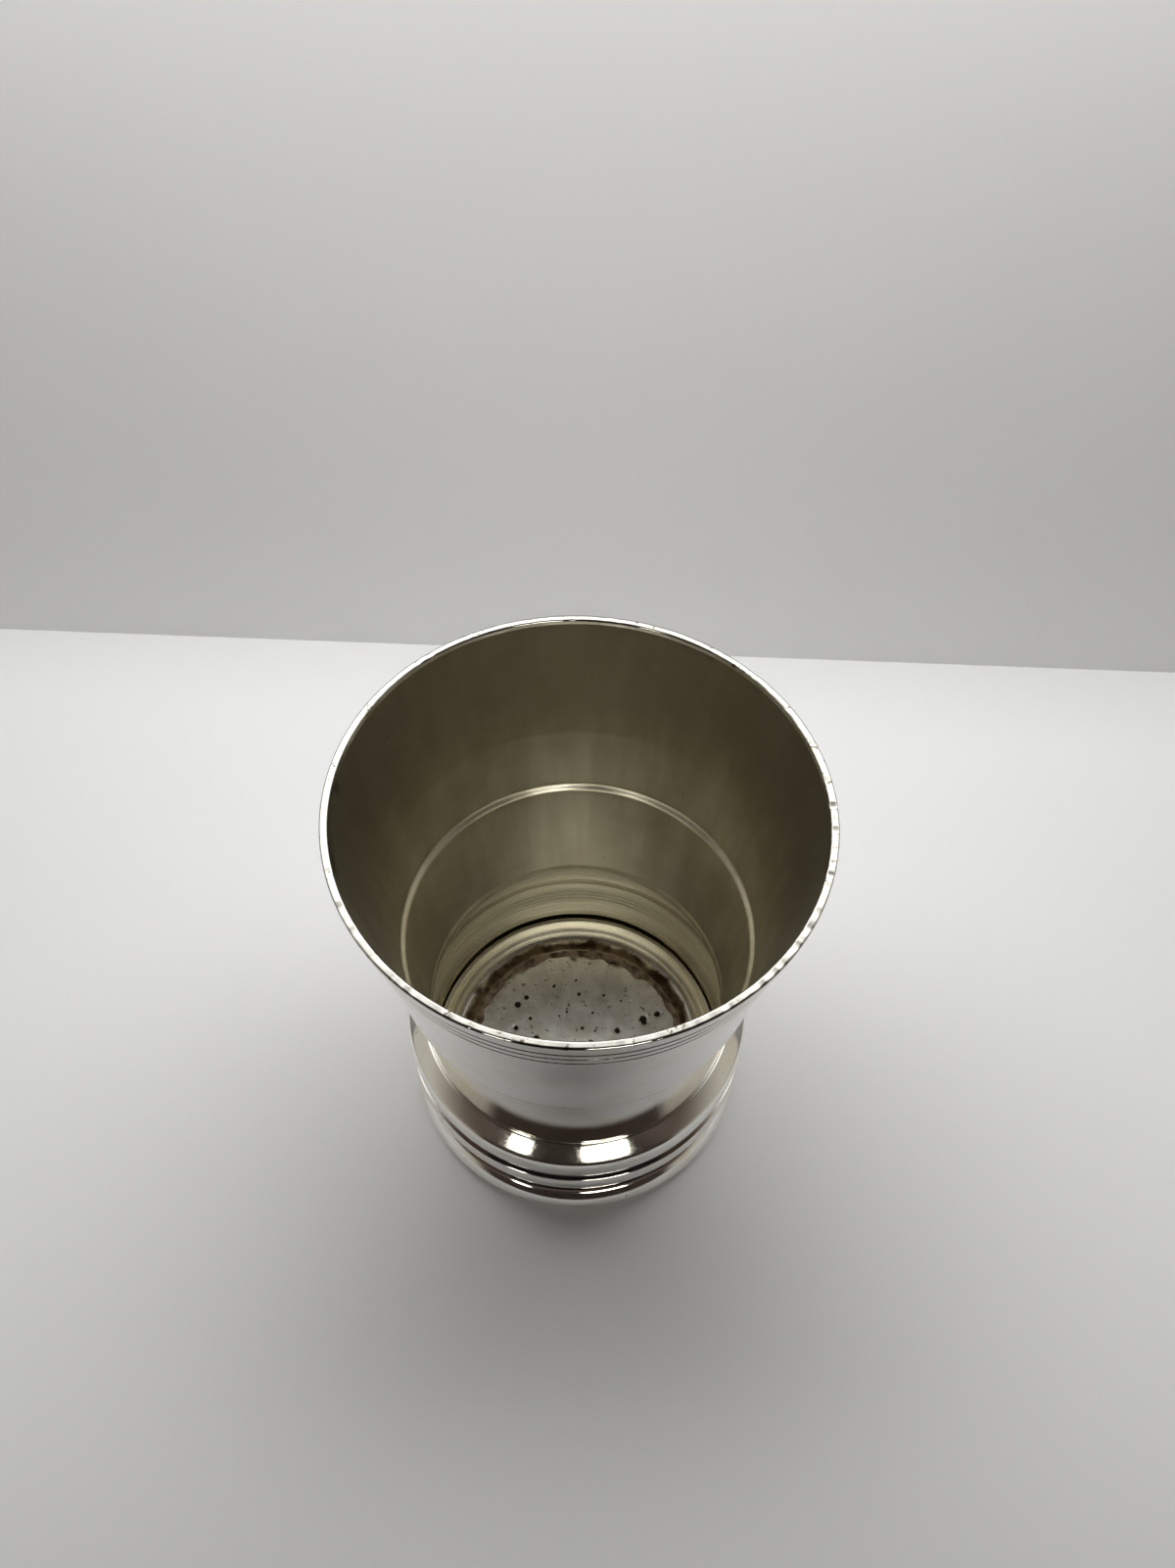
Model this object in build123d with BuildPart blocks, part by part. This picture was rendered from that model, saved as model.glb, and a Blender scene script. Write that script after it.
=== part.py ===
from build123d import *
import os

# Spirit measure cup ("bar jigger"): a spun flared body, whose neck stands soldered in
# the opening of a ringed base section, and a flat floor disc soldered under the base's
# turned-in flange. Millimetres, +Z up, origin on the cup's axis in the plane that the
# foot stands on. Outline points are (radius, height) pairs.

# ---- driving dimensions -------------------------------------------------
height = 60.5
wall = 0.85

# flared body, outside line: neck tube, ledge and flare
rim_radius = 25.0
rim_rounding = 0.2
flare_middle = (22.3, 46.0)
ledge_top = (20.85, 35.6)
ledge_foot = (20.0, 34.3)
neck = (19.2, 26.0)
neck_foot_radius = 18.85
neck_foot_top = 20.0
body_foot = 18.0
neck_lean = (0.11, 1)
ledge_lean = (0.12, 1)

# fine lines engraved round the outside, under the rim
engraving_depths_below_rim = [2.4, 4.1, 5.8]
engraving_radius = 0.2

# ringed base, outside line: lip, shoulder, side, notch, ring, groove and base ring
shoulder_seam = 18.6
shoulder_end = (20.7, 17.27)
side_top = (21.18, 16.27)
side_foot = (20.95, 13.0)
notch = (20.4, 12.45)
ring_shoulder = (21.15, 11.95)
upper_ring = (21.27, 10.6)
ring_foot = (20.95, 8.5)
groove_top = (20.05, 7.3)
groove_bottom = (19.45, 4.75)
base_ring = (21.4, 2.6)
foot_outer_radius = 20.5
foot_inner_radius = 19.75

# ringed base, inside line
lip_bottom = 17.65
shoulder_inside = (20.25, 15.2)
notch_inside = (19.7, 12.45)
ring_inside = (20.3, 10.2)
hollow_side = (20.4, 2.4)
hollow_bottom = (19.8, 0.9)

# the flange turned in under the cup, with its raised bead
bead_top = (18.8, 3.3)
bead_top_rounding = 0.8
bead_underside = (18.5, 2.45)
bead_underside_rounding = 0.4
slope_top = (17.4, 2.6)
slope_underside = (17.4, 1.95)
slope_rounding = 0.5
land_outer_radius = 16.4
land_height = 1.1
flange_edge_wall = 0.8
flange_hole_radius = 14.9

# floor disc and solder
floor_radius = 16.2
floor_thickness = 0.8
seam_solder_reach = 0.62
floor_solder_radius = 13.6
floor_solder_rise = 0.5

# ---- working values -----------------------------------------------------
upright = (0, 1)
downward = (0, -1)
flare = (rim_radius - flare_middle[0], height - flare_middle[1])
land_top = land_height + flange_edge_wall

os.makedirs("parts", exist_ok=True)


def inset(point, distance):
    """The point moved towards the axis by distance."""
    return (point[0] - distance, point[1])


def body_side(distance):
    """Draw the body's side line from foot to rim, inset by distance."""
    foot = inset((neck_foot_radius, body_foot), distance)
    foot_top = inset((neck_foot_radius, neck_foot_top), distance)
    ledge_start = inset(ledge_foot, distance)
    ledge_end = inset(ledge_top, distance)
    rim = inset((rim_radius, height), distance)
    Line(foot, foot_top)
    Spline(foot_top, inset(neck, distance), ledge_start, tangents=[upright, neck_lean])
    Spline(ledge_start, ledge_end, tangents=[neck_lean, ledge_lean])
    Spline(ledge_end, inset(flare_middle, distance), rim, tangents=[ledge_lean, flare])


# ---- flared body: one spun sheet, from its foot in the base to the rim ----
with BuildPart() as flared_body:
    with BuildSketch(Plane.XZ):
        with BuildLine():
            body_side(0)
            body_side(wall)
            Line((rim_radius - wall, height), (rim_radius, height))
            Line((neck_foot_radius - wall, body_foot), (neck_foot_radius, body_foot))
        make_face()
    revolve(axis=Axis.Z)
    fillet(flared_body.edges().group_by(Axis.Z)[-1], rim_rounding)
    for depth in engraving_depths_below_rim:
        line_radius = rim_radius - depth * flare[0] / flare[1]
        with BuildSketch(Plane.XZ):
            with Locations((line_radius, height - depth)):
                Circle(engraving_radius)
        revolve(axis=Axis.Z, mode=Mode.SUBTRACT)

# ---- ringed base: shoulder, two rings, hollow base ring and flange ----
with BuildPart() as ringed_base:
    with BuildSketch(Plane.XZ):
        with BuildLine():
            # outside, from the lip round the neck down to the foot
            Line((neck_foot_radius, lip_bottom), (neck_foot_radius, shoulder_seam))
            slope = Line((neck_foot_radius, shoulder_seam), shoulder_end)
            Spline(shoulder_end, side_top, tangents=[slope % 1, downward])
            TangentArc(side_top, side_foot, tangent=downward)
            Line(side_foot, notch)
            Line(notch, ring_shoulder)
            Spline(ring_shoulder, upper_ring, ring_foot, groove_top)
            Line(groove_top, groove_bottom)
            ThreePointArc(groove_bottom, base_ring, (foot_outer_radius, 0))
            Line((foot_outer_radius, 0), (foot_inner_radius, 0))
            # underside of the flange, in to its hole
            FilletPolyline(
                (foot_inner_radius, 0),
                bead_underside,
                slope_underside,
                (land_outer_radius, land_height),
                (flange_hole_radius, land_height),
                radius=[bead_underside_rounding, slope_rounding, bead_underside_rounding],
            )
            Line((flange_hole_radius, land_height), (flange_hole_radius, land_top))
            # top of the flange, back out over the bead into the hollow ring
            FilletPolyline(
                (flange_hole_radius, land_top),
                (land_outer_radius - slope_rounding, land_top),
                slope_top,
                bead_top,
                hollow_bottom,
                radius=[slope_rounding, bead_top_rounding, bead_top_rounding],
            )
            # inside wall, up over the base groove to the lip
            groove_bottom_inside = inset(groove_bottom, wall)
            groove_top_inside = inset(groove_top, wall)
            ThreePointArc(hollow_bottom, hollow_side, groove_bottom_inside)
            Line(groove_bottom_inside, groove_top_inside)
            Spline(groove_top_inside, ring_inside, notch_inside, shoulder_inside, (neck_foot_radius, lip_bottom))
        make_face()
    revolve(axis=Axis.Z)

# ---- floor disc: laid up against the flange's flat land ----
with BuildPart() as floor_disc:
    with BuildSketch(Plane.XY.offset(land_height)):
        Circle(floor_radius)
    extrude(amount=-floor_thickness)

# ---- seam solder: a small fillet under the body's foot, inside the base's lip ----
with BuildPart() as seam_solder:
    with BuildSketch(Plane.XZ):
        with BuildLine():
            Polyline(
                (neck_foot_radius - seam_solder_reach, body_foot),
                (neck_foot_radius, body_foot),
                (neck_foot_radius, lip_bottom),
                close=True,
            )
        make_face()
    revolve(axis=Axis.Z)

# ---- floor solder: a thin ring between the flange's edge and the disc ----
with BuildPart() as floor_solder:
    with BuildSketch(Plane.XZ):
        with BuildLine():
            Polyline(
                (floor_solder_radius, land_height),
                (flange_hole_radius, land_height),
                (flange_hole_radius, land_height + floor_solder_rise),
                close=True,
            )
        make_face()
    revolve(axis=Axis.Z)

# ---- labels and files ----
pieces = {
    "flared_body": flared_body,
    "ringed_base": ringed_base,
    "floor_disc": floor_disc,
    "seam_solder": seam_solder,
    "floor_solder": floor_solder,
}
for name, piece in pieces.items():
    piece.part.label = name
    export_step(piece.part, f"parts/{name}.step")
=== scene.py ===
import math
import random
import bmesh
import bpy
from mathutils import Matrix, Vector, noise


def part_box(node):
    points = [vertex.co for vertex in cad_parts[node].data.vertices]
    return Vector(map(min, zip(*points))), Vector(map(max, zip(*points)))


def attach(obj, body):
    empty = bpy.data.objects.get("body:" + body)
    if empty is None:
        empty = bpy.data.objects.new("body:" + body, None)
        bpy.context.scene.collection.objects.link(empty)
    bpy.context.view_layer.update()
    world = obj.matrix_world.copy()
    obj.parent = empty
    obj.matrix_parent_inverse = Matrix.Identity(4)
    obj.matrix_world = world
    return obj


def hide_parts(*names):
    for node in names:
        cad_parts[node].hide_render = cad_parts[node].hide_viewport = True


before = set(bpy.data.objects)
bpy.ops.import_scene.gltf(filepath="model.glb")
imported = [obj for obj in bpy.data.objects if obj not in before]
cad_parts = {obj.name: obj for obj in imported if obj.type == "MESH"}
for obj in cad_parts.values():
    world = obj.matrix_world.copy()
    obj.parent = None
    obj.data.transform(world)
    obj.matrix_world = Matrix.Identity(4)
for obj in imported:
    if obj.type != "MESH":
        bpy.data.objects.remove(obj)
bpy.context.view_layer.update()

# Silver-plated spirit measure: a spun flared body on a ringed base, with a floor disc
# soldered in. Every piece is a lathe mesh made here, within half a millimetre of its CAD
# node, with the wear of use worked into it. Outline points are (radius, height) pairs, in
# metres.

mm = 0.001
SEGMENTS = 448
BASE_SEGMENTS = 384
DISC_SEGMENTS = 320

# ---- sizes read from the frame --------------------------------------------------------
body_low, body_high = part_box("flared_body")
base_low, base_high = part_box("ringed_base")
disc_low, disc_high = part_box("floor_disc")
rim_height = body_high.z
rim_radius = body_high.x
foot_of_body = body_low.z
base_ring_radius = base_high.x
disc_radius = disc_high.x
disc_top = disc_high.z
disc_underside = disc_low.z

# ---- sizes of the outline -------------------------------------------------------------
wall = 0.85 * mm
rim_rounding = 0.22 * mm
flare_middle = (22.3 * mm, 46.0 * mm)
ledge_top = (20.9 * mm, 35.5 * mm)
ledge_foot = (20.15 * mm, 34.5 * mm)
neck = (19.25 * mm, 25.5 * mm)
neck_foot_radius = 18.85 * mm
shoulder_seam = base_high.z
shoulder_end = (20.7 * mm, 17.27 * mm)
side_top = (21.18 * mm, 16.27 * mm)
side_foot = (20.95 * mm, 13.0 * mm)
notch = (20.45 * mm, 12.18 * mm)
ring_shoulder = (21.15 * mm, 11.95 * mm)
upper_ring = (21.3 * mm, 10.6 * mm)
ring_foot = (20.95 * mm, 8.5 * mm)
groove_top = (20.05 * mm, 7.3 * mm)
groove_bottom = (19.45 * mm, 4.75 * mm)
ring_brow = (20.55 * mm, 4.3 * mm)
ring_height = 2.6 * mm
lip_bottom = 17.65 * mm
shoulder_inside = (20.25 * mm, 15.2 * mm)
notch_inside = (19.7 * mm, 12.45 * mm)
ring_inside = (20.3 * mm, 10.2 * mm)
standing_radius = 20.5 * mm
standing_inner_radius = 19.75 * mm
hollow_side = (20.4 * mm, 2.4 * mm)
hollow_bottom = (19.8 * mm, 0.9 * mm)
bead_top = (18.8 * mm, 3.3 * mm)
slope_top = (17.4 * mm, 2.6 * mm)
land_radius = 16.4 * mm
flange_hole_radius = 14.9 * mm
flange_wall = 0.8 * mm
engraving_depths = (2.4 * mm, 4.1 * mm, 5.8 * mm)
engraving_cut = 0.2 * mm
engraving_width = 0.24 * mm

# a faint ring inside the flare, and the thick inner edge at the foot of the neck tube
crease_height = 44.3 * mm
crease_rise = 0.05 * mm
crease_width = 0.45 * mm
crease_zone = 2 * mm
foot_bead = 0.28 * mm
foot_bead_length = 1.2 * mm
foot_bead_zone = 1.6 * mm
foot_bead_middle = 0.35
foot_bead_falloff = 2.4

# wear of the rim
oval = 0.16 * mm
three_sided = 0.07 * mm
bent_in = 0.06 * mm
nick_zone = 1.2 * mm
rim_roughness = 0.02 * mm
engraved_zone = 8 * mm
flare_spread = 4 * mm

# one pit in the base ring, and the pits in the floor
ring_pit_angle = math.radians(233)
ring_pit_height = ring_height + 0.4 * mm
ring_pit_radius = 0.45 * mm
ring_pit_depth = 0.2 * mm
floor_pit_depth = 0.16 * mm
axis_gap = 0.02 * mm


# ---- curves ---------------------------------------------------------------------------
def arc(centre, radius, start, end, steps):
    """Points on an arc, from start to end degrees."""
    angles = [math.radians(start + (end - start) * i / steps) for i in range(steps + 1)]
    return [(centre[0] + radius * math.cos(a), centre[1] + radius * math.sin(a)) for a in angles]


def curve(points, start_tangent, end_tangent, steps):
    """A smooth curve through the points, with a given direction at each end."""
    last = len(points) - 1
    tangents = [Vector(start_tangent)]
    for i in range(1, last):
        tangents.append(((Vector(points[i + 1]) - Vector(points[i - 1])) / 2).normalized())
    tangents.append(Vector(end_tangent))
    result = [points[0]]
    for i in range(last):
        a, b = Vector(points[i]), Vector(points[i + 1])
        reach = (b - a).length
        u, v = tangents[i].normalized() * reach, tangents[i + 1].normalized() * reach
        for k in range(1, steps + 1):
            t = k / steps
            p = (2 * t**3 - 3 * t**2 + 1) * a + (t**3 - 2 * t**2 + t) * u
            p += (3 * t**2 - 2 * t**3) * b + (t**3 - t**2) * v
            result.append((p.x, p.y))
    return result


def join(*runs):
    """One list of points, without the doubled ones where runs meet."""
    points = []
    for run in runs:
        for p in run:
            if not points or (Vector(p) - Vector(points[-1])).length > 1e-6:
                points.append(p)
    return points


def divided(points, longest):
    """The same line with its long runs divided."""
    result = [points[0]]
    for a, b in zip(points, points[1:]):
        steps = max(1, math.ceil((Vector(b) - Vector(a)).length / longest))
        for k in range(1, steps + 1):
            t = k / steps
            result.append((a[0] + (b[0] - a[0]) * t, a[1] + (b[1] - a[1]) * t))
    return result


# ---- lathe ----------------------------------------------------------------------------
def lathe(name, outline, wear, segments=SEGMENTS, inside_from=None):
    """Turns a closed outline into a mesh. wear(radius, height, angle) moves each point.
    Rows of faces from inside_from on get the piece's second material."""
    vertices, faces = [], []
    for radius, height in outline:
        for k in range(segments):
            angle = 2 * math.pi * k / segments
            r, z = wear(radius, height, angle)
            vertices.append((r * math.cos(angle), r * math.sin(angle), z))
    rows = len(outline)
    for row in range(rows):
        below, above = row * segments, ((row + 1) % rows) * segments
        for k in range(segments):
            after = (k + 1) % segments
            faces.append((below + k, below + after, above + after, above + k))
    mesh = bpy.data.meshes.new(name)
    mesh.from_pydata(vertices, [], faces)
    mesh.polygons.foreach_set("use_smooth", [True] * len(faces))
    if inside_from is not None:
        first = inside_from * segments
        mesh.polygons.foreach_set("material_index", [int(i >= first) for i in range(len(faces))])
    shape = bmesh.new()
    shape.from_mesh(mesh)
    bmesh.ops.recalc_face_normals(shape, faces=shape.faces)
    shape.to_mesh(mesh)
    shape.free()
    piece = bpy.data.objects.new(name, mesh)
    bpy.context.scene.collection.objects.link(piece)
    return piece


def hand_in(piece, node, slot_name, *materials):
    """Put the piece in its CAD node's place, with its materials."""
    for material in materials:
        piece.data.materials.append(material)
    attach(piece, "root")
    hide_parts(node)


def out_of_round(angle, height):
    """How far a knocked rim stands from a true circle."""
    share = max(0, (height - foot_of_body) / (rim_height - foot_of_body)) ** 2
    waves = oval * math.cos(2 * angle + 0.6) + three_sided * math.cos(3 * angle - 1.1)
    return share * waves - bent_in * share


# ---- flared body ----------------------------------------------------------------------
def body_side(inset):
    """The body's side line, from foot to rim, inset from the outside."""
    line = [(r - inset, z) for r, z in (
        (neck_foot_radius, foot_of_body), neck, ledge_foot, ledge_top, flare_middle,
        (rim_radius, rim_height - rim_rounding))]
    flare = (line[5][0] - line[4][0], line[5][1] - line[4][1])
    tube = curve(line[:3], (0.01, 1), (0.15, 1), 16)
    ledge = curve(line[2:4], (0.15, 1), (0.12, 1), 16)
    cone = curve(line[3:], (0.12, 1), flare, 24)
    return join(tube, ledge, cone)


def body_outline():
    """The body's closed outline, and the number of the row where its inside starts."""
    outside = body_side(0)
    inside = body_side(wall)
    lip_out = arc((rim_radius - rim_rounding, rim_height - rim_rounding), rim_rounding, 0, 90, 6)
    lip_in = arc((rim_radius - wall + rim_rounding, rim_height - rim_rounding), rim_rounding, 90, 180, 6)
    top = divided([lip_out[-1], lip_in[0]], 0.1 * mm)
    engraved_from = rim_height - engraving_depths[-1] - 1 * mm
    plain = divided([p for p in outside if p[1] <= engraved_from], 0.45 * mm)
    lined = divided([plain[-1]] + [p for p in outside if p[1] > engraved_from], 0.055 * mm)
    first = join(plain, lined, lip_out, top, lip_in)
    fine = []
    for a, b in zip(inside, inside[1:]):
        above_bead = min(a[1], b[1]) > foot_of_body + 2 * mm
        fine.append(divided([a, b], 0.5 * mm if above_bead else 0.1 * mm))
    return join(first, list(reversed(join(*fine)))), len(first)


def engraved(height):
    """Depth of the engraved lines at a height."""
    depth = 0
    for below_rim in engraving_depths:
        off = abs(height - (rim_height - below_rim)) / engraving_width
        depth = max(depth, engraving_cut * max(0, 1 - off * off))
    return depth


def rim_nicks(seed, count):
    """(angle, half width, depth) of nicks all round the rim, and of as many on its right."""
    chance = random.Random(seed)
    made = []
    for _ in range(count):
        where = chance.uniform(0, 2 * math.pi)
        width = chance.uniform(0.15, 0.45) * mm
        depth = chance.uniform(0.015, 0.06) * mm
        made.append((where, width, depth))
    for _ in range(count):
        where = chance.gauss(-0.3, 0.3)
        width = chance.uniform(0.15, 0.4) * mm
        depth = chance.uniform(0.02, 0.07) * mm
        made.append((where, width, depth))
    return made


nicks = rim_nicks(7, 60)


def body_wear(radius, height, angle):
    """Nick the rim, cut the engraved lines, and raise the foot's bead and the crease."""
    r = radius + out_of_round(angle, height)
    z = height
    from_rim = rim_height - height
    if from_rim < nick_zone:
        near = 1 - from_rim / nick_zone
        for where, width, depth in nicks:
            off = (angle - where + math.pi) % (2 * math.pi) - math.pi
            off *= radius / width
            if abs(off) < 1:
                z -= depth * near * (1 - off * off)
        place = Vector((radius * math.cos(angle), radius * math.sin(angle), 0))
        z += rim_roughness * near * noise.noise(place * 900)
    near_rim = radius > rim_radius - flare_spread and from_rim < engraved_zone
    if near_rim and is_outside(radius, height):
        r -= engraved(height)
    if height < foot_of_body + foot_bead_zone and radius < neck_foot_radius - wall / 2:
        up = (height - foot_of_body) / foot_bead_length
        r -= foot_bead * max(0, 1 - (up - foot_bead_middle) ** 2 * foot_bead_falloff)
    if abs(height - crease_height) < crease_zone and not is_outside(radius, height):
        r -= crease_rise * math.exp(-((height - crease_height) / crease_width) ** 2)
    return r, z


def is_outside(radius, height):
    """Whether a point of the flare is on its outer surface."""
    share = (height - flare_middle[1]) / (rim_height - flare_middle[1])
    line = flare_middle[0] + share * (rim_radius - flare_middle[0])
    return radius > line - wall / 2


# ---- ringed base ----------------------------------------------------------------------
def base_outline():
    """The base's closed outline, and the number of the row where its inside starts."""
    seam = (neck_foot_radius + 0.02 * mm, shoulder_seam)
    shoulder = curve([seam, shoulder_end], (0.84, -0.545), (0.777, -0.629), 8)
    edge = curve([shoulder_end, side_top], (0.777, -0.629), (0, -1), 12)
    side = curve([side_top, side_foot, notch], (0, -1), (-1, -0.6), 10)
    ring = curve([notch, ring_shoulder], (1, -0.32), (1, -0.34), 8)
    ring_side = curve([ring_shoulder, upper_ring, ring_foot, groove_top], (0.3, -1), (-0.8, -1), 12)
    groove = curve([groove_top, groove_bottom], (-0.4, -1), (0, -1), 8)
    base_ring = curve(
        [groove_bottom, ring_brow, (base_ring_radius, ring_height), (standing_radius, base_low.z)],
        (1, -0.05), (-0.5, -1), 14)
    under = curve(
        [(standing_inner_radius, base_low.z), (18.5 * mm, 2.45 * mm), (17.4 * mm, 1.95 * mm),
         (land_radius, disc_top), (flange_hole_radius, disc_top)],
        (-0.5, 1), (-1, 0), 8)
    lip = arc((flange_hole_radius, disc_top + flange_wall / 2), flange_wall / 2, 270, 90, 8)
    flange = curve(
        [(flange_hole_radius, disc_top + flange_wall), (land_radius - 0.3 * mm, disc_top + flange_wall),
         slope_top, bead_top, hollow_bottom, hollow_side, (groove_bottom[0] - wall, groove_bottom[1])],
        (1, 0), (-0.6, 1), 10)
    inner = curve(
        [(groove_bottom[0] - wall, groove_bottom[1]), (groove_top[0] - wall, groove_top[1]),
         ring_inside, notch_inside, shoulder_inside, (neck_foot_radius + 0.02 * mm, lip_bottom)],
        (0.2, 1), (-1, 0.7), 12)
    outside = join(shoulder, edge, side, ring, ring_side, groove, base_ring,
                   [(standing_inner_radius, base_low.z)], under, lip)
    return join(outside, flange, inner), len(outside) - len(lip) // 2


def base_wear(radius, height, angle):
    """Make the inside a little uneven, and sink one pit in the base ring."""
    r = radius
    between = disc_top + 0.2 * mm < height < side_top[1]
    if between and radius < hollow_side[0] + 0.2 * mm:
        place = Vector((radius * math.cos(angle), radius * math.sin(angle), height))
        r += 0.05 * mm * noise.noise(place * 260)
    turn = (angle - ring_pit_angle + math.pi) % (2 * math.pi) - math.pi
    off = math.hypot(turn * radius, height - ring_pit_height) / ring_pit_radius
    if off < 1 and radius > groove_top[0]:
        r -= ring_pit_depth * (1 - off * off)
    return r, height


# ---- floor disc -----------------------------------------------------------------------
def disc_outline():
    """The disc's closed outline, which stops just short of the axis."""
    turn = (disc_top - disc_underside) / 2
    middle = (disc_top + disc_underside) / 2
    edge = arc((disc_radius - turn, middle), turn, -90, 90, 10)
    top = divided([edge[-1], (axis_gap, disc_top)], 0.2 * mm)
    bottom = divided([(axis_gap, disc_underside), edge[0]], 0.3 * mm)
    return join(edge, top, bottom[:-1])


def scattered_pits(seed, count):
    """(x, y, radius) of pits over the floor, most of them small."""
    chance = random.Random(seed)
    made = []
    for _ in range(count):
        reach = flange_hole_radius * math.sqrt(chance.random()) * 0.97
        angle = chance.uniform(0, 2 * math.pi)
        size = 0.12 * mm + 0.5 * mm * chance.random() ** 3
        made.append((reach * math.cos(angle), reach * math.sin(angle), size))
    return made


pits = scattered_pits(19, 90)


def disc_wear(radius, height, angle):
    """Make the disc's top uneven, and sink its pits."""
    z = height
    if height > disc_top - 0.1 * mm:
        x, y = radius * math.cos(angle), radius * math.sin(angle)
        z -= 0.03 * mm * (1 + noise.noise(Vector((x, y, 0)) * 300))
        for px, py, size in pits:
            off = ((x - px) ** 2 + (y - py) ** 2) / size**2
            if off < 1:
                z -= floor_pit_depth * (1 - off)
    return radius, z


# ---- solder ---------------------------------------------------------------------------
def seam_outline():
    """A thin fillet under the body's lower edge, where it stands in the base's shoulder."""
    outer = neck_foot_radius
    top = foot_of_body - 0.01 * mm
    reach = 0.62 * mm
    corners = [
        (outer - reach, top),
        (outer - 0.5 * mm, foot_of_body - 0.16 * mm),
        (outer - 0.2 * mm, foot_of_body - 0.32 * mm),
        (outer, lip_bottom),
        (outer, top),
        (outer - reach, top),
    ]
    return divided(corners, 0.1 * mm)[:-1]


def seam_wear(radius, height, angle):
    """Make the fillet's free side lumpy, and leave the sides that it is soldered to."""
    if radius > neck_foot_radius - 0.05 * mm or height > foot_of_body - 0.05 * mm:
        return radius, height
    place = Vector((radius * math.cos(angle), radius * math.sin(angle), height))
    lump = noise.noise(place * 900) + 0.6 * noise.noise(place * 2100)
    return radius - 0.1 * mm * lump, height - 0.06 * mm * lump


def floor_solder_outline():
    """A low ridge of solder between the flange's edge and the floor disc."""
    outer = flange_hole_radius + 0.12 * mm
    inner = flange_hole_radius - 1.25 * mm
    crest = [
        (inner, disc_top + 0.02 * mm),
        (outer - 0.3 * mm, disc_top + 0.42 * mm),
        (outer, disc_top + 0.45 * mm),
    ]
    bottom = [(outer, disc_top - 0.02 * mm), (inner, disc_top - 0.02 * mm)]
    return join(bottom, curve(crest, (1, 0.2), (1, 0), 8))


def floor_solder_wear(radius, height, angle):
    """Give the ridge a ragged inner edge and a lumpy top."""
    place = Vector((math.cos(angle), math.sin(angle), 0))
    reach = max(0, flange_hole_radius - radius)
    spread = 1 + 0.5 * noise.noise(place * 3.1) + 0.45 * noise.noise(place * 9 + Vector((5, 1, 2)))
    lump = 0.05 * mm * noise.noise(Vector((radius * place.x, radius * place.y, 0)) * 1500)
    rise = lump if height > disc_top else 0
    return flange_hole_radius - reach * spread if reach else radius, height + rise


# ---- materials ------------------------------------------------------------------------
class Shader:
    """A node material, with short calls for the nodes that the finishes here use."""

    def __init__(self, name):
        self.material = bpy.data.materials.new(name)
        self.material.use_nodes = True
        self.tree = self.material.node_tree
        self.surface = self.tree.nodes["Principled BSDF"]
        self.place = self.add("ShaderNodeTexCoord").outputs["Object"]

    def add(self, kind, **settings):
        made = self.tree.nodes.new(kind)
        for key, value in settings.items():
            setattr(made, key, value)
        return made

    def put(self, value, socket):
        if isinstance(value, bpy.types.NodeSocket):
            self.tree.links.new(value, socket)
        else:
            socket.default_value = value

    def math(self, operation, a, b=0.0, clamp=False):
        made = self.add("ShaderNodeMath", operation=operation, use_clamp=clamp)
        self.put(a, made.inputs[0])
        self.put(b, made.inputs[1])
        return made.outputs[0]

    def fit(self, value, low, high, to_low=0.0, to_high=1.0):
        """The value's low to high range, smoothly, as to_low to to_high."""
        made = self.add("ShaderNodeMapRange", interpolation_type="SMOOTHSTEP")
        for socket, given in zip(made.inputs, (value, low, high, to_low, to_high)):
            self.put(given, socket)
        return made.outputs[0]

    def mix(self, share, a, b):
        made = self.add("ShaderNodeMix", data_type="RGBA")
        self.put(share, made.inputs[0])
        self.put(a, made.inputs[6])
        self.put(b, made.inputs[7])
        return made.outputs[2]

    def noise(self, vector, scale, detail=3.0, roughness=0.55):
        made = self.add("ShaderNodeTexNoise")
        self.put(vector, made.inputs["Vector"])
        made.inputs["Scale"].default_value = scale
        made.inputs["Detail"].default_value = detail
        made.inputs["Roughness"].default_value = roughness
        return made.outputs["Fac"]

    def vector(self, x, y, z):
        made = self.add("ShaderNodeCombineXYZ")
        for socket, value in zip(made.inputs, (x, y, z)):
            self.put(value, socket)
        return made.outputs[0]

    def axes(self):
        """x, y and z of the shaded point, in metres."""
        split = self.add("ShaderNodeSeparateXYZ")
        self.put(self.place, split.inputs[0])
        return split.outputs

    def height(self):
        return self.axes()[2]

    def radius(self):
        x, y, _ = self.axes()
        squares = self.math("ADD", self.math("MULTIPLY", x, x), self.math("MULTIPLY", y, y))
        return self.math("SQRT", squares)

    def round_and_along(self, turns, heights):
        """A vector for noise that is drawn out round the axis, or along it."""
        x, y, z = self.axes()
        return self.vector(
            self.math("MULTIPLY", x, turns),
            self.math("MULTIPLY", y, turns),
            self.math("MULTIPLY", z, heights),
        )

    def bump(self, height, strength, distance):
        made = self.add("ShaderNodeBump")
        made.inputs["Strength"].default_value = strength
        made.inputs["Distance"].default_value = distance
        self.put(height, made.inputs["Height"])
        self.put(made.outputs[0], self.surface.inputs["Normal"])

    def finish(self, colour, roughness, metallic=1.0):
        self.put(colour, self.surface.inputs["Base Color"])
        self.put(roughness, self.surface.inputs["Roughness"])
        self.put(metallic, self.surface.inputs["Metallic"])
        return self.material


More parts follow.
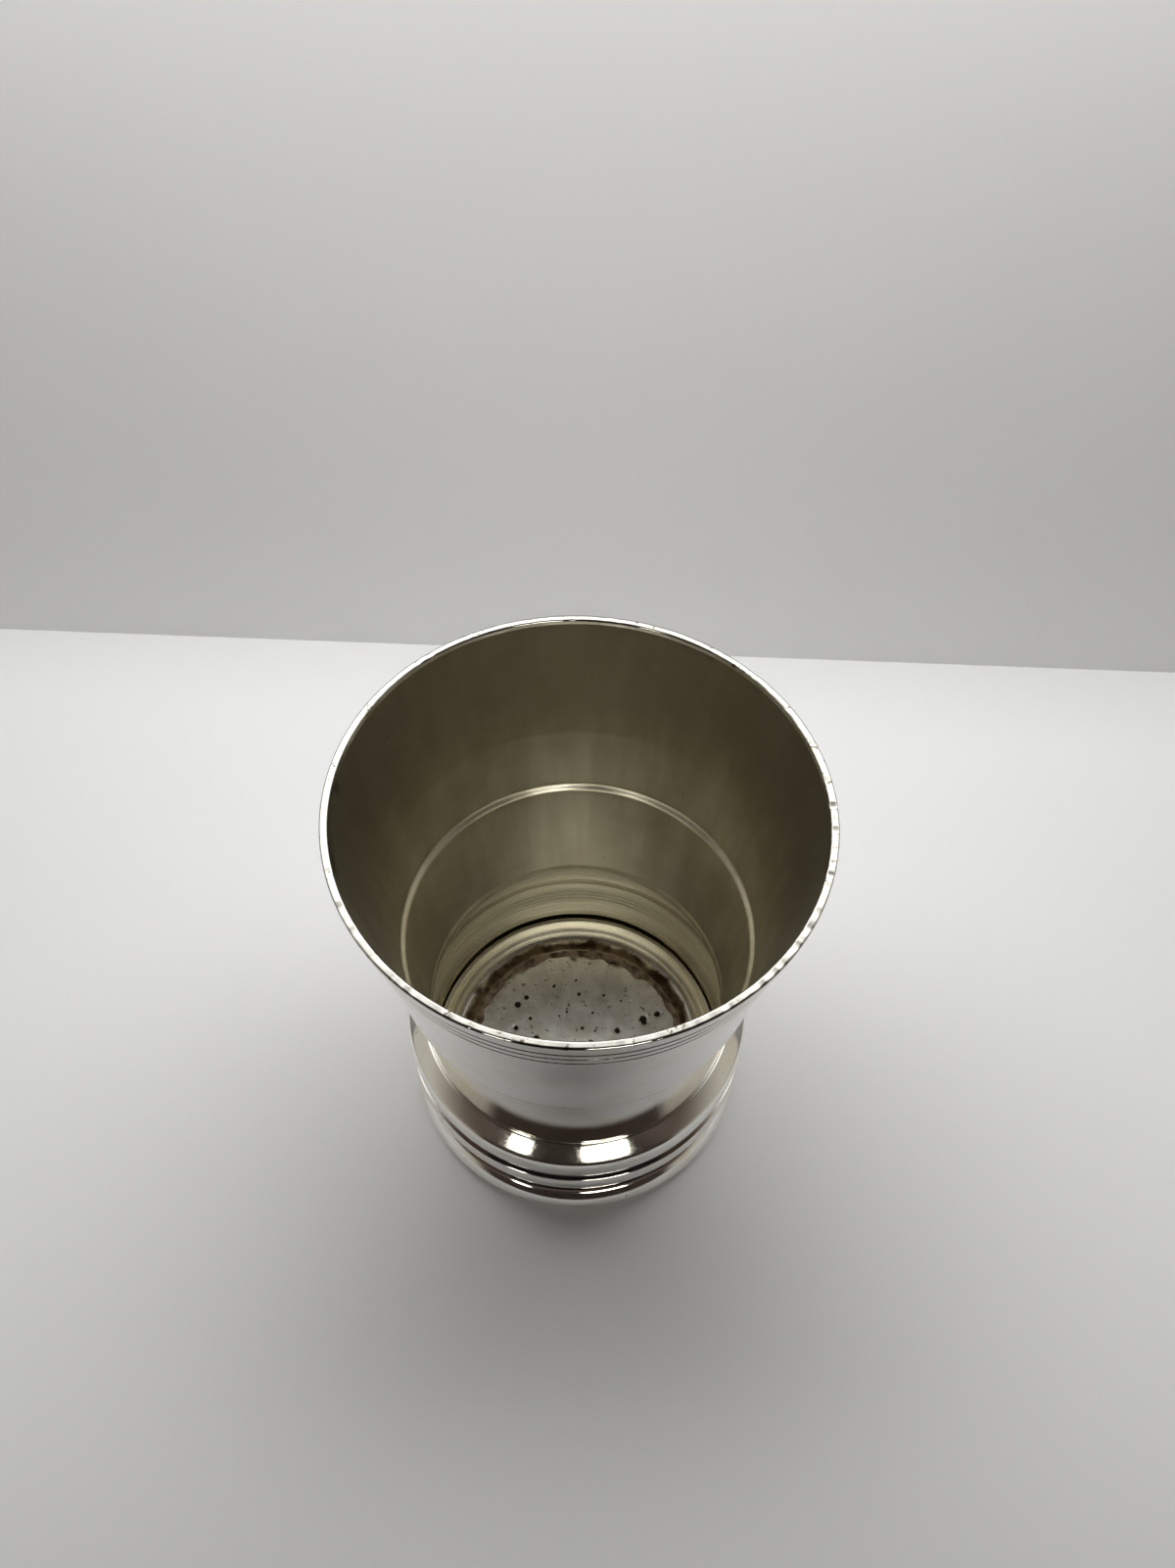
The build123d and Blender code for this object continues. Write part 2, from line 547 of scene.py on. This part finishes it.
bright_silver = (0.90, 0.885, 0.85, 1)
yellowed_silver = (0.84, 0.80, 0.72, 1)
# painted shade: the grey of the rim's flat top
rim_top_shade = (0.40, 0.39, 0.36, 1)
outside_speck = (0.32, 0.27, 0.20, 1)
nick_dirt = (0.12, 0.10, 0.08, 1)
tarnished_plate = (0.60, 0.57, 0.47, 1)
rubbed_plate = (0.72, 0.69, 0.59, 1)
clouded_plate = (0.54, 0.50, 0.40, 1)
# painted shade: the dark colour that the inside is shaded to towards the rim
upper_inside_shade = (0.30, 0.27, 0.21, 1)
inside_speck = (0.20, 0.16, 0.11, 1)
spun_valley = (0.66, 0.62, 0.50, 1)
spun_crest = (0.86, 0.83, 0.72, 1)
# painted shade: the brown of the shaded hollow inside the base
moat_painted_shade = (0.20, 0.155, 0.10, 1)
land_dark = (0.11, 0.07, 0.045, 1)
land_light = (0.34, 0.26, 0.17, 1)
floor_pale = (0.94, 0.93, 0.88, 1)
floor_dull = (0.70, 0.68, 0.61, 1)
floor_speck = (0.10, 0.085, 0.065, 1)
pit_black = (0.035, 0.03, 0.022, 1)
floor_edge = (0.16, 0.11, 0.07, 1)
solder_dark = (0.09, 0.06, 0.04, 1)
solder_light = (0.36, 0.27, 0.18, 1)


def polished_silver():
    """Bright plate, with faint spun lines, fine scratches, a little yellow tarnish and painted shade on
    the rim's flat top.
    """
    s = Shader("polished_silver_plate")
    height = s.height()
    spun = s.noise(s.round_and_along(30, 9000), 1.0, 4)
    scratches = s.noise(s.round_and_along(2600, 500), 1.0, 5, 0.7)
    cloud = s.noise(s.place, 190, 4)
    specks = s.fit(s.noise(s.place, 1500, 2), 0.71, 0.78)
    tone = s.mix(s.fit(cloud, 0.42, 0.72), bright_silver, yellowed_silver)
    colour = s.mix(specks, tone, outside_speck)
    at_rim = s.fit(height, rim_height - 0.55 * mm, rim_height - 0.2 * mm)
    nicked = s.fit(s.noise(s.place, 900, 4, 0.7), 0.60, 0.66)
    # painted shade: the rim's flat top is painted a darker grey than the plate around it
    flat = s.fit(height, rim_height - 0.24 * mm, rim_height - 0.1 * mm)
    colour = s.mix(flat, colour, rim_top_shade)
    colour = s.mix(s.math("MULTIPLY", at_rim, nicked), colour, nick_dirt)
    worn = s.math("MULTIPLY", s.fit(scratches, 0.35, 0.75), 0.05)
    roughness = s.math("ADD", s.fit(cloud, 0.3, 0.75, 0.035, 0.085), worn)
    s.bump(s.math("ADD", spun, s.math("MULTIPLY", scratches, 0.4)), 0.10, 0.00004)
    return s.finish(colour, roughness)


def tarnished_inside():
    """The inside: yellowed plate, rubbed in streaks up the wall, with spun rings, and painted shade
    darkening it towards the rim.
    """
    s = Shader("tarnished_silver_inside")
    height = s.height()
    spun = s.noise(s.round_and_along(14, 2600), 1.0, 5, 0.65)
    streaks = s.noise(s.round_and_along(330, 26), 1.0, 3)
    cloud = s.noise(s.place, 120, 4)
    grain = s.noise(s.place, 5200, 3)
    specks = s.fit(s.noise(s.place, 1500, 2), 0.70, 0.78)
    rubbed = s.mix(s.fit(streaks, 0.35, 0.7), tarnished_plate, rubbed_plate)
    clouded = s.mix(s.fit(cloud, 0.4, 0.75), rubbed, clouded_plate)
    # painted shade: the inside is painted darker from the ledge up to the rim
    painted_shade_up = s.fit(height, ledge_top[1], rim_height, 0.0, 0.65)
    clouded = s.mix(painted_shade_up, clouded, upper_inside_shade)
    under_rim = s.fit(height, rim_height - 2.6 * mm, rim_height - 0.9 * mm)
    patches = s.fit(s.noise(s.round_and_along(80, 60), 1.0, 3), 0.55, 0.63)
    patchy = s.mix(s.math("MULTIPLY", under_rim, patches), clouded, nick_dirt)
    colour = s.mix(s.math("MULTIPLY", specks, 0.6), patchy, inside_speck)
    worn = s.fit(cloud, 0.3, 0.7, 0.30, 0.36)
    roughness = s.math("ADD", worn, s.math("MULTIPLY", spun, 0.06))
    s.bump(s.math("ADD", spun, s.math("MULTIPLY", grain, 0.12)), 0.16, 0.00006)
    return s.finish(colour, roughness)


def base_inside():
    """Inside the base: a spun wall, a moat darkened with painted shade, a rubbed bead and a tarnished
    land.
    """
    s = Shader("tarnished_silver_base")
    radius = s.radius()
    height = s.height()
    spun = s.noise(s.round_and_along(14, 3600), 1.0, 5, 0.7)
    ragged = s.math("MULTIPLY", s.math("SUBTRACT", s.noise(s.place, 420, 4), 0.5), 3.2 * mm)
    cloud = s.noise(s.place, 260, 4)
    wall_tone = s.mix(s.fit(spun, 0.35, 0.65), spun_valley, spun_crest)
    # painted shade: the hollow low in the base, outside the bead, is painted dark brown
    low = s.fit(height, hollow_side[1] - 0.9 * mm, groove_bottom[1], 1.0, 0.0)
    outer = s.fit(radius, bead_top[0] + 0.2 * mm, bead_top[0] + 0.8 * mm)
    moat = s.mix(s.math("MULTIPLY", low, outer), wall_tone, moat_painted_shade)
    reach = s.math("ADD", radius, ragged)
    land = s.fit(reach, land_radius - 1.0 * mm, land_radius - 0.1 * mm, 1.0, 0.0)
    brown = s.mix(s.fit(cloud, 0.4, 0.6), land_dark, land_light)
    colour = s.mix(land, moat, brown)
    worn = s.fit(land, 0.0, 1.0, 0.24, 0.5)
    roughness = s.math("ADD", worn, s.math("MULTIPLY", spun, 0.06))
    s.bump(spun, 0.3, 0.00012)
    return s.finish(colour, roughness)


def worn_disc():
    """The floor: dull mottled plate, black in its pits and brown towards its edge."""
    s = Shader("worn_silver_plate")
    radius = s.radius()
    height = s.height()
    cloud = s.noise(s.place, 330, 6, 0.65)
    fine = s.noise(s.place, 2400, 4, 0.6)
    mottled = s.mix(s.fit(cloud, 0.35, 0.68), floor_pale, floor_dull)
    specks = s.fit(s.noise(s.place, 1250, 2), 0.64, 0.72)
    speckled = s.mix(s.math("MULTIPLY", specks, 0.75), mottled, floor_speck)
    sunk = s.fit(height, disc_top - 0.12 * mm, disc_top - 0.065 * mm, 1.0, 0.0)
    on_top = s.fit(height, disc_top - 0.6 * mm, disc_top - 0.3 * mm)
    marked = s.mix(s.math("MULTIPLY", sunk, on_top), speckled, pit_black)
    ragged = s.math("MULTIPLY", s.math("SUBTRACT", s.noise(s.place, 380, 4), 0.5), 4 * mm)
    reach = s.math("ADD", radius, ragged)
    edge = s.fit(reach, flange_hole_radius - 1.5 * mm, flange_hole_radius - 0.5 * mm)
    colour = s.mix(edge, marked, floor_edge)
    roughness = s.fit(fine, 0.3, 0.7, 0.27, 0.38)
    s.bump(s.math("ADD", cloud, s.math("MULTIPLY", fine, 0.4)), 0.25, 0.00008)
    return s.finish(colour, roughness, 0.9)


def tarnished_solder():
    """Dark, dull and grainy solder."""
    s = Shader("tarnished_solder")
    cloud = s.noise(s.place, 700, 4)
    grain = s.noise(s.place, 3500, 3)
    colour = s.mix(s.fit(cloud, 0.35, 0.65), solder_dark, solder_light)
    s.bump(grain, 0.5, 0.0001)
    return s.finish(colour, s.fit(grain, 0.3, 0.7, 0.42, 0.62), 0.7)


# ---- pieces ---------------------------------------------------------------------------
outside_finish = polished_silver()
inside_finish = tarnished_inside()
solder_finish = tarnished_solder()

outline, inside_row = body_outline()
body = lathe("spun_flared_body", outline, body_wear, inside_from=inside_row)
hand_in(body, "flared_body", "polished_silver_plate", outside_finish, inside_finish)

outline, inside_row = base_outline()
base = lathe("ringed_base_section", outline, base_wear, BASE_SEGMENTS, inside_from=inside_row)
hand_in(base, "ringed_base", "polished_silver_plate", outside_finish, base_inside())

disc = lathe("pitted_floor_disc", disc_outline(), disc_wear, DISC_SEGMENTS)
hand_in(disc, "floor_disc", "worn_silver_plate", worn_disc())

seam = lathe("seam_solder_bead", seam_outline(), seam_wear)
hand_in(seam, "seam_solder", "tarnished_solder", solder_finish)

ridge = lathe("floor_solder_ridge", floor_solder_outline(), floor_solder_wear, BASE_SEGMENTS)
hand_in(ridge, "floor_solder", "tarnished_solder", solder_finish)


# ---- camera, floor, backdrop, lamps and dark cards --------------------------------------
rim_centre = Vector((0, 0, rim_height))
camera_place = rim_centre + Vector((-0.46, -67.33, 102.56)) * mm
camera_tilt = (math.radians(34.32), math.radians(-0.69), 0)
wall_behind = 71 * mm
wall_turn = math.radians(-2.2)


def panel(name, place, facing, width, height, material, camera_sees=False, silver_sees=True):
    """A flat stage panel, facing a point."""
    mesh = bpy.data.meshes.new(name)
    w, h = width / 2, height / 2
    mesh.from_pydata([(-w, -h, 0), (w, -h, 0), (w, h, 0), (-w, h, 0)], [], [(0, 1, 2, 3)])
    made = bpy.data.objects.new(name, mesh)
    bpy.context.scene.collection.objects.link(made)
    made.location = place
    made.rotation_euler = (Vector(facing) - Vector(place)).to_track_quat("Z", "Y").to_euler()
    made.data.materials.append(material)
    made.visible_camera = camera_sees
    made.visible_glossy = silver_sees
    return made


def matt(name, colour):
    """A dull paper or cloth, for the stage."""
    s = Shader(name)
    grain = s.noise(s.place, 25, 5)
    tone = s.mix(grain, tuple(0.985 * c for c in colour) + (1,), tuple(colour) + (1,))
    s.surface.inputs["Specular IOR Level"].default_value = 0.1
    return s.finish(tone, 0.85, 0.0)


def glowing(name, colour, strength):
    """A material that only gives light."""
    s = Shader(name)
    s.surface.inputs["Base Color"].default_value = (0, 0, 0, 1)
    s.surface.inputs["Emission Color"].default_value = colour + (1,)
    s.surface.inputs["Emission Strength"].default_value = strength
    return s.material


def one_sided(material):
    """Let the back of a material's faces show what is beyond."""
    tree = material.node_tree
    surface, output = tree.nodes["Principled BSDF"], tree.nodes["Material Output"]
    clear = tree.nodes.new("ShaderNodeBsdfTransparent")
    back = tree.nodes.new("ShaderNodeNewGeometry")
    choice = tree.nodes.new("ShaderNodeMixShader")
    tree.links.new(back.outputs["Backfacing"], choice.inputs[0])
    tree.links.new(surface.outputs[0], choice.inputs[1])
    tree.links.new(clear.outputs[0], choice.inputs[2])
    tree.links.new(choice.outputs[0], output.inputs[0])
    return material


def soft_edged(material, width, height, fade):
    """Let a panel's material thin out to nothing over its outer fade."""
    tree = material.node_tree
    surface, output = tree.nodes["Principled BSDF"], tree.nodes["Material Output"]
    split = tree.nodes.new("ShaderNodeSeparateXYZ")
    tree.links.new(tree.nodes["Texture Coordinate"].outputs["Object"], split.inputs[0])
    solid = None
    for socket, half in ((split.outputs[0], width / 2), (split.outputs[1], height / 2)):
        size = tree.nodes.new("ShaderNodeMath")
        size.operation = "ABSOLUTE"
        tree.links.new(socket, size.inputs[0])
        share = tree.nodes.new("ShaderNodeMapRange")
        share.interpolation_type = "SMOOTHSTEP"
        tree.links.new(size.outputs[0], share.inputs[0])
        for number, value in ((1, half - fade), (2, half), (3, 1.0), (4, 0.0)):
            share.inputs[number].default_value = value
        if solid is None:
            solid = share.outputs[0]
        else:
            both = tree.nodes.new("ShaderNodeMath")
            both.operation = "MULTIPLY"
            tree.links.new(solid, both.inputs[0])
            tree.links.new(share.outputs[0], both.inputs[1])
            solid = both.outputs[0]
    clear = tree.nodes.new("ShaderNodeBsdfTransparent")
    choice = tree.nodes.new("ShaderNodeMixShader")
    tree.links.new(solid, choice.inputs[0])
    tree.links.new(clear.outputs[0], choice.inputs[1])
    tree.links.new(surface.outputs[0], choice.inputs[2])
    tree.links.new(choice.outputs[0], output.inputs[0])
    return material


def around(azimuth, elevation, distance):
    """A point seen from the cup: azimuth from -Y towards +X, elevation above the horizon."""
    a, e = math.radians(azimuth), math.radians(elevation)
    return Vector((math.sin(a) * math.cos(e), -math.cos(a) * math.cos(e), math.sin(e))) * distance


floor_size = 12
floor_paper = one_sided(matt("pale_paper", (0.80, 0.80, 0.80)))
panel("floor", (0, 0, base_low.z), (0, 0, 1), floor_size, floor_size, floor_paper, camera_sees=True)
backdrop_paper = one_sided(matt("backdrop_paper", (0.88, 0.88, 0.88)))
backdrop_width = 8
back_height = 0.108
backdrop_place = Vector((0, wall_behind, back_height / 2))
facing = backdrop_place + Vector((math.sin(wall_turn), -math.cos(wall_turn), 0))
panel("backdrop", backdrop_place, facing, backdrop_width, back_height, backdrop_paper, camera_sees=True)

# the two lamps that the silver shows: azimuth, elevation and apparent size, in degrees
lamp_distance = 1.2
lamp_colour = (1.0, 0.98, 0.90)
lamp_strength = 16
lamps = (("left", -28.5, 33.5, 7.5, 9.5), ("right", 15, 34.5, 17.5, 10))
for side, azimuth, elevation, wide, tall in lamps:
    place = around(azimuth, elevation, lamp_distance)
    size = [2 * lamp_distance * math.tan(math.radians(v / 2)) for v in (wide, tall)]
    light = glowing(side + "_lamp_light", lamp_colour, lamp_strength)
    lamp = panel(side + "_lamp", place, (0, 0, 0), *size, light)
    lamp.visible_diffuse = False

# lights for the paper alone: a strip behind the cup, so that its shadow falls to the
# front, and a soft fill from the front
strip_place = Vector((0, 0.048, 0.2))
strip_size = (0.24, 0.07)
strip_light = glowing("overhead_strip_glow", (1.0, 1.0, 0.99), 7.7)
below_strip = Vector((strip_place.x, strip_place.y, 0))
panel("overhead_strip", strip_place, below_strip, *strip_size, strip_light, silver_sees=False)
fill_size = (0.9, 0.54)
fill_light = glowing("front_fill_glow", (1.0, 0.985, 0.96), 1.7)
panel("front_fill", around(0, 50, 1.0), (0, 0, 0), *fill_size, fill_light, silver_sees=False)

# somebody's jacket, low in front, and a flag that shades the paper there
jacket_size = (0.42, 0.26)
jacket = soft_edged(matt("jacket", (0.09, 0.066, 0.052)), *jacket_size, 0.07)
panel("jacket_front", Vector((0, -0.17, 0)), (0, 0, 0), *jacket_size, jacket)
flag_place = Vector((0, -0.085, 0.115))
flag_size = (0.15, 0.20)
flag = soft_edged(matt("flag", (0.03, 0.03, 0.03)), *flag_size, 0.055)
below_flag = Vector((flag_place.x, flag_place.y, 0))
panel("flag_over_front", flag_place, below_flag, *flag_size, flag, silver_sees=False)

# the phone and the two hands that hold it, behind the camera's place
phone_place = camera_place * 1.02
phone_size = (0.15, 0.078)
phone_black = matt("phone_black", (0.02, 0.02, 0.022))
phone = panel("phone", phone_place, camera_place * 0.5, *phone_size, phone_black)
phone.visible_diffuse = False
phone.visible_shadow = False
hand_size = (0.075, 0.09)
for name, side in (("hand_left", -1), ("hand_right", 1)):
    hand_place = phone_place + Vector((side * 0.105, -0.01, -0.005))
    panel(name, hand_place, (0, 0, 0), *hand_size, matt("sleeve", (0.10, 0.07, 0.055)))


def room_light():
    """The room seen from the cup: bright overhead and behind, softer at the sides, and
    dark brown in front, where somebody stands."""
    world = bpy.data.worlds.new("soft_room")
    bpy.context.scene.world = world
    world.use_nodes = True
    world.cycles_visibility.diffuse = False
    tree = world.node_tree
    direction = tree.nodes.new("ShaderNodeTexCoord").outputs["Generated"]

    def towards(azimuth, elevation, outer, inner):
        """1 within the inner angle of a direction, falling to 0 at the outer angle."""
        dot = tree.nodes.new("ShaderNodeVectorMath")
        dot.operation = "DOT_PRODUCT"
        tree.links.new(direction, dot.inputs[0])
        dot.inputs[1].default_value = around(azimuth, elevation, 1)
        fade = tree.nodes.new("ShaderNodeMapRange")
        fade.interpolation_type = "SMOOTHSTEP"
        tree.links.new(dot.outputs["Value"], fade.inputs[0])
        fade.inputs[1].default_value = math.cos(math.radians(outer))
        fade.inputs[2].default_value = math.cos(math.radians(inner))
        return fade.outputs[0]

    def mixed(share, below, colour):
        mix = tree.nodes.new("ShaderNodeMix")
        mix.data_type = "RGBA"
        tree.links.new(share, mix.inputs[0])
        if isinstance(below, tuple):
            mix.inputs[6].default_value = below
        else:
            tree.links.new(below, mix.inputs[6])
        mix.inputs[7].default_value = colour
        return mix.outputs[2]

    walls = (0.46, 0.44, 0.38, 1)
    ceiling = (3.4, 3.4, 3.3, 1)
    brown_jacket = (0.085, 0.066, 0.055, 1)
    dark_lap = (0.03, 0.024, 0.02, 1)
    overhead = mixed(towards(180, 68, 66, 30), walls, ceiling)
    front = mixed(towards(0, 52, 74, 42), overhead, brown_jacket)
    low_front = mixed(towards(0, 12, 48, 28), front, dark_lap)
    tree.links.new(low_front, tree.nodes["Background"].inputs[0])


room_light()

camera_data = bpy.data.cameras.new("camera")
camera_data.sensor_width = 36
camera_data.lens = 29.21
camera_data.clip_start = 0.005
camera = bpy.data.objects.new("camera", camera_data)
bpy.context.scene.collection.objects.link(camera)
camera.location = camera_place
camera.rotation_euler = camera_tilt
bpy.context.scene.camera = camera
bpy.context.scene.view_settings.view_transform = "Standard"
